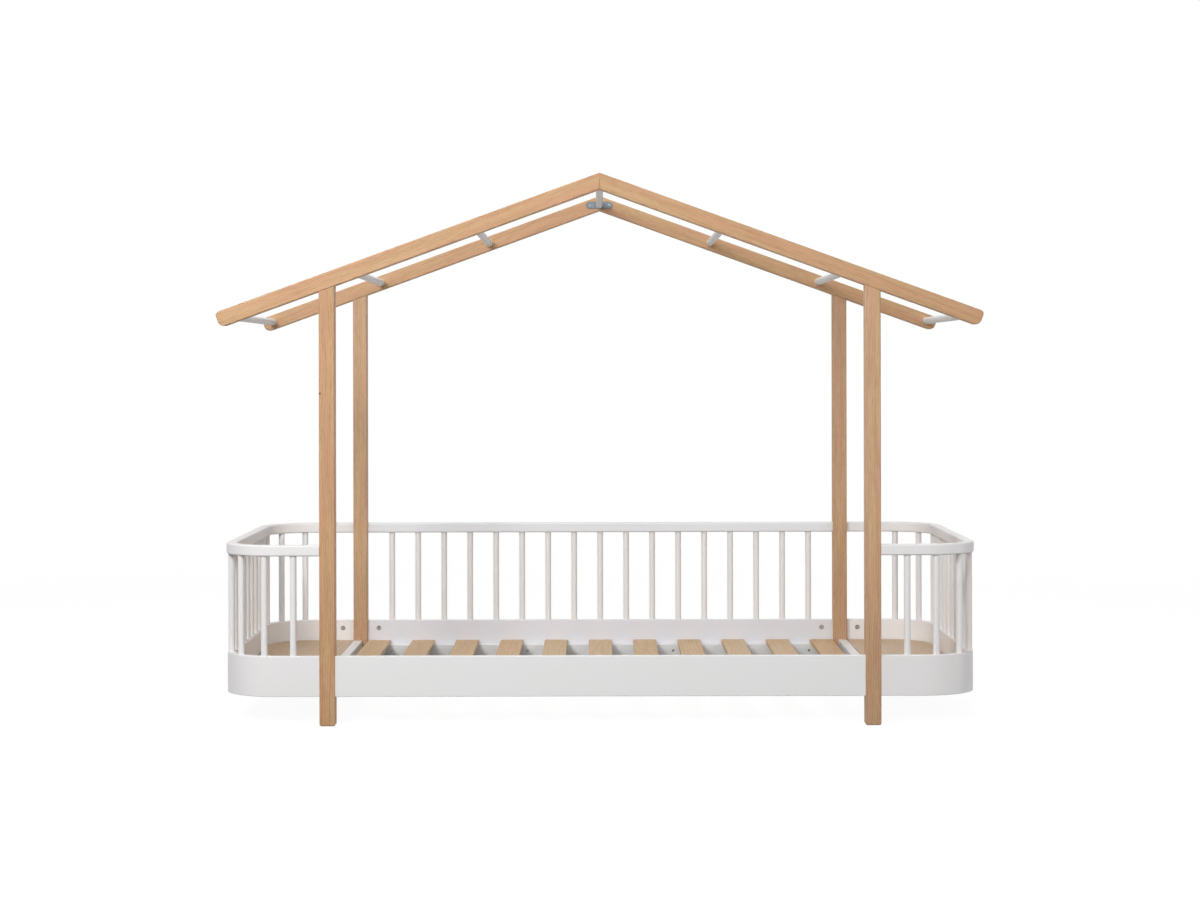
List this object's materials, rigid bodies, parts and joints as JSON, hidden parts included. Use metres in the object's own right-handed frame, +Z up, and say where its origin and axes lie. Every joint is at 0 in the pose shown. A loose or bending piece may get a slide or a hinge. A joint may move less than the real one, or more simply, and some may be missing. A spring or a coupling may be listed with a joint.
{
  "type": "canopy bed",
  "caption": "Low single bed with rounded railed ends, an open front, a slatted deck and four posts that carry a bare house-shaped roof frame.",
  "frame": {"origin": "on the floor, under the middle of the bed", "axes": "+X along the bed to the right as seen from the open front, +Y across the bed towards the back rail, +Z up"},
  "size_m": [2.0878, 0.97, 1.504],
  "materials": {
    "oak": "oiled oak, fine straight grain",
    "white_lacquer": "satin white lacquer on wood",
    "slat_wood": "plain sanded birch",
    "panel_wood": "plain sanded plywood",
    "beech_pins": "fluted beech, unfinished",
    "zinc_plate": "blue zinc plated",
    "cast_zinc": "cast zinc, dull",
    "steel_fasteners": "zinc plated steel"
  },
  "bodies": {
    "frame": {"back_rail": "white_lacquer", "back_spindles": "white_lacquer", "cam_locks": "cast_zinc", "cleat_screws": "steel_fasteners", "crossbar_cleat_left": "white_lacquer", "crossbar_cleat_right": "white_lacquer", "crossbar_left": "white_lacquer", "crossbar_right": "white_lacquer", "end_board_left": "white_lacquer", "end_board_right": "white_lacquer", "end_cleat_left": "white_lacquer", "end_cleat_right": "white_lacquer", "end_rail_left": "white_lacquer", "end_rail_right": "white_lacquer", "end_spindles_left": "white_lacquer", "end_spindles_right": "white_lacquer", "frame_dowels": "beech_pins", "post_bolts": "steel_fasteners", "post_front_left": "oak", "post_front_right": "oak", "post_rear_left": "oak", "post_rear_right": "oak", "ridge_plate_front": "zinc_plate", "ridge_plate_rear": "zinc_plate", "ridge_plate_screws": "steel_fasteners", "ridge_rung": "white_lacquer", "roof_beam_front_left": "oak", "roof_beam_front_right": "oak", "roof_beam_rear_left": "oak", "roof_beam_rear_right": "oak", "roof_bolts": "steel_fasteners", "roof_dowels": "beech_pins", "roof_nuts": "steel_fasteners", "rung_left_lower": "white_lacquer", "rung_left_middle": "white_lacquer", "rung_left_upper": "white_lacquer", "rung_right_lower": "white_lacquer", "rung_right_middle": "white_lacquer", "rung_right_upper": "white_lacquer", "side_board_front": "white_lacquer", "side_board_rear": "white_lacquer", "slat_01": "slat_wood", "slat_02": "slat_wood", "slat_03": "slat_wood", "slat_04": "slat_wood", "slat_05": "slat_wood", "slat_06": "slat_wood", "slat_07": "slat_wood", "slat_08": "slat_wood", "slat_09": "slat_wood", "slat_10": "slat_wood", "slat_11": "slat_wood", "slat_pegs": "beech_pins", "slat_support_front": "white_lacquer", "slat_support_rear": "white_lacquer", "slat_support_screws": "steel_fasteners", "through_bolts": "steel_fasteners"},
    "left_panel": {"end_panel_left": "panel_wood"},
    "right_panel": {"end_panel_right": "panel_wood"}
  },
  "joints": [
    {"name": "left_panel_lift", "type": "slide", "parent": "frame", "child": "left_panel", "axis": [0, 0, 1], "range_m": [0, 0.4]},
    {"name": "right_panel_lift", "type": "slide", "parent": "frame", "child": "right_panel", "axis": [0, 0, 1], "range_m": [0, 0.4]}
  ]
}
